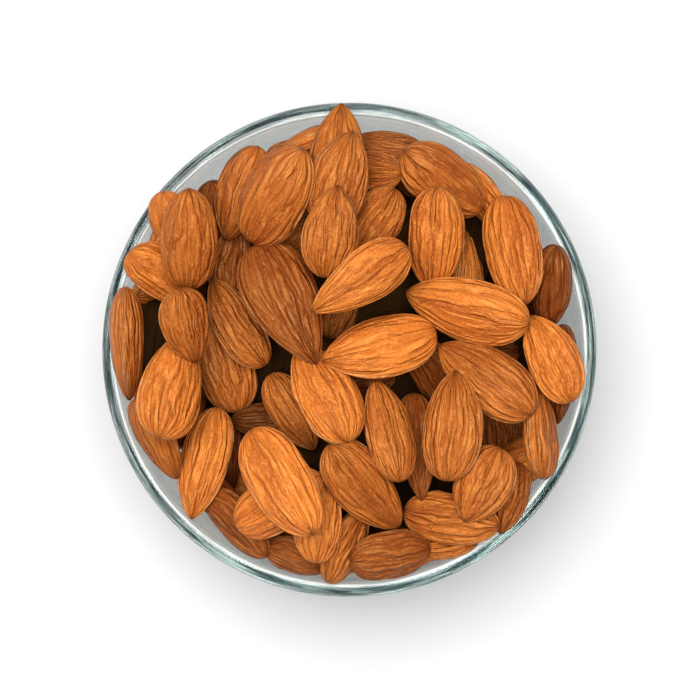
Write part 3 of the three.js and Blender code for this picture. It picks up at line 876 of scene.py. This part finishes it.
def almond_piece(name, almonds, seed, rings, sides):
    """One piece of many almonds, each where it came to rest."""
    rng = np.random.default_rng(seed)
    points = bpy.data.meshes.new(name + "_places")
    points.from_pydata([one["place"] for one in almonds], [], [])
    turns = [Matrix(one["way"].tolist()).to_euler() for one in almonds]
    bows = [one["way"][:, 1] * rng.normal(0, BOW) for one in almonds]
    values = {
        "turn": ("FLOAT_VECTOR", "vector", turns),
        "size": ("FLOAT_VECTOR", "vector", [one["size"] for one in almonds]),
        "bow": ("FLOAT_VECTOR", "vector", bows),
        "tone": ("FLOAT", "value", [one["tone"] for one in almonds]),
        "mark": ("FLOAT", "value", PIECE_STEP * seed + ALMOND_STEP * np.arange(len(almonds))),
        "shape": ("INT", "value", [one["shape"] for one in almonds]),
    }
    for key, (kind, field, numbers) in values.items():
        numbers = np.array(numbers, np.int32 if kind == "INT" else np.float32)
        points.attributes.new(key, kind, "POINT").data.foreach_set(field, numbers.ravel())
    places = bpy.data.objects.new(name + "_places", points)
    bpy.context.scene.collection.objects.link(places)
    kernels = bpy.data.collections.new(name + "_kernels")
    for index, shape in enumerate(KERNELS):
        one = kernel(shape, rings, sides)
        one.name = f"kernel_{index}_{shape}"
        kernels.objects.link(one)
    modifier = places.modifiers.new("strewn", "NODES")
    modifier.node_group = strewn_almonds
    given = {"Kernels": kernels, "Skin": almond_material, **WRINKLES}
    for item in strewn_almonds.interface.items_tree:
        if item.in_out == "INPUT" and item.name in given:
            modifier[item.identifier] = given[item.name]
    graph = bpy.context.evaluated_depsgraph_get()
    mesh = bpy.data.meshes.new_from_object(places.evaluated_get(graph), depsgraph=graph)
    mesh.name = name
    for spent in (places, *kernels.objects):
        bpy.data.objects.remove(spent)
    bpy.data.collections.remove(kernels)
    keep_off_glass(mesh)
    piece = bpy.data.objects.new(name, mesh)
    bpy.context.scene.collection.objects.link(piece)
    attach(piece, "root")
    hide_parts("almond_heap")
    return piece


FINE = (48, 120)  # rings and sides of the faces of an almond that shows
PLAIN = (22, 36)  # of one that others hide
LAYER = 15  # almonds in each piece of those that show, lowest first
almond_piece("almonds_below", hidden, 1, *PLAIN)
almond_piece("almonds_against_glass", leaning, 6, *PLAIN)
for n, level in enumerate(("low", "middle", "high", "top")):
    layer = shown[n * LAYER : (n + 1) * LAYER]
    almond_piece("almonds_" + level, layer, n + 2, *FINE)

# ---------------------------------------------------------------------------------------------
# The dark middle of the heap, where almonds lie so deep that only their shade shows between
# the others. It keeps a few millimetres off the glass, behind the almonds that lean on it.

CORE_INSET = 5.5 * MM
CORE_LIFT = CORE_INSET * 0.6  # how far it stays above the floor of the bowl
CORE_TOP = 30 * MM
CORE_EDGE = 25 * MM  # height at which its side turns into its domed top
CORE_STEPS, CORE_SEGMENTS = 40, 120
DEEP_BROWN, DEEPEST_BROWN = (0.022, 0.006, 0.0015), (0.006, 0.0018, 0.0005)
PATCHES_PER_METRE = 130.0
core_wall = inner_wall(CORE_STEPS)
core_wall = core_wall[core_wall[:, 1] < CORE_EDGE]
core_side = np.maximum(core_wall - (CORE_INSET, -CORE_LIFT), (1 * MM, 0))
core_rim, core_shoulder = core_side[-1]
core_dome = arc((0, 0), 1, 0, 90, 14)[1:]
core_dome = core_dome * (core_rim, CORE_TOP - core_shoulder) + (0, core_shoulder)
core_base = [[0, core_side[0, 1]]]
core_profile = np.vstack([core_base, core_side, core_dome])
core = turned_piece("heap_middle", core_profile, CORE_SEGMENTS)


def deep_shade():
    """The near black brown of almonds that hardly any light reaches."""
    material = bpy.data.materials.new("deep_shade")
    material.use_nodes = True
    nodes = Wiring(material.node_tree)
    shader = material.node_tree.nodes["Principled BSDF"]
    place = nodes.add("ShaderNodeTexCoord").outputs["Object"]
    patches = nodes.stretch(nodes.noise(place, PATCHES_PER_METRE, 4.0), 0.35, 0.65)
    sockets = {"Factor": patches, 6: (*DEEPEST_BROWN, 1), 7: (*DEEP_BROWN, 1)}
    colour = nodes.add("ShaderNodeMix", sockets, data_type="RGBA").outputs[2]
    nodes.join(colour, shader.inputs["Base Color"])
    shader.inputs["Roughness"].default_value = 0.9
    shader.inputs["Specular IOR Level"].default_value = 0.0
    return material


core.data.materials.append(deep_shade())
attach(core, "root")
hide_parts("almond_heap")

# ---------------------------------------------------------------------------------------------
# The studio: a plain floor that the light makes pale, one wide soft light overhead, a fainter
# glow all round, and the camera straight above the bowl.

FLOOR_HALF = 4.0
FLOOR_GAP = 0.1 * MM  # it lies this far below the foot of the bowl
FLOOR_GREY = 0.53
floor_mesh = bpy.data.meshes.new("floor")
corners = ((-1, -1), (1, -1), (1, 1), (-1, 1))
corners = [(x * FLOOR_HALF, y * FLOOR_HALF, -FLOOR_GAP) for x, y in corners]
floor_mesh.from_pydata(corners, [], [(0, 1, 2, 3)])
floor = bpy.data.objects.new("floor", floor_mesh)
bpy.context.scene.collection.objects.link(floor)
floor_paint = bpy.data.materials.new("floor_paint")
floor_paint.use_nodes = True
paint = floor_paint.node_tree.nodes["Principled BSDF"]
paint.inputs["Base Color"].default_value = (FLOOR_GREY, FLOOR_GREY, FLOOR_GREY, 1)
paint.inputs["Roughness"].default_value = 0.9
floor_mesh.materials.append(floor_paint)

SOFTBOX = 6.1  # how brightly it lights what faces it
SOFTBOX_WIDTH = math.radians(56)  # as seen from the bowl
SOFTBOX_LEAN = (-0.09, 0.15)  # towards the left and the top of the photograph
softbox = bpy.data.lights.new("softbox", "SUN")
softbox.energy = SOFTBOX
softbox.angle = SOFTBOX_WIDTH
lamp = bpy.data.objects.new("softbox", softbox)
lamp.rotation_euler = Vector((*SOFTBOX_LEAN, 1)).to_track_quat("Z", "Y").to_euler()
bpy.context.scene.collection.objects.link(lamp)

GLOW = 0.22  # as the bowl receives it: the camera sees plain white behind the floor
world = bpy.data.worlds.new("studio")
world.use_nodes = True
bpy.context.scene.world = world
sky = Wiring(world.node_tree)
glow = world.node_tree.nodes["Background"]
glow.inputs["Color"].default_value = (1, 1, 1, 1)
seen = sky.add("ShaderNodeLightPath").outputs["Is Camera Ray"]
sky.join(sky.stretch(seen, 0.0, 1.0, GLOW, 1.0), glow.inputs["Strength"])

SENSOR = 36.0  # its width in millimetres, as Blender counts it
lens = bpy.data.cameras.new("camera")
lens.sensor_width = SENSOR
lens.lens = SENSOR * CAMERA_ABOVE_RIM / (PHOTO_WIDTH * METRES_PER_PIXEL)
lens.clip_start = 0.01
camera = bpy.data.objects.new("camera", lens)
aim_x, aim_y = (PHOTO_WIDTH / 2 - at for at in PHOTO_MIDDLE)
camera.location = (aim_x * METRES_PER_PIXEL, -aim_y * METRES_PER_PIXEL, RIM_TOP + CAMERA_ABOVE_RIM)
bpy.context.scene.collection.objects.link(camera)
bpy.context.scene.camera = camera
bpy.context.scene.view_settings.view_transform = "Standard"
# light runs a long way inside the wall of the glass before it comes out again
LONGEST_PATH = 32
for kind in ("max_bounces", "glossy_bounces", "transmission_bounces"):
    setattr(bpy.context.scene.cycles, kind, LONGEST_PATH)
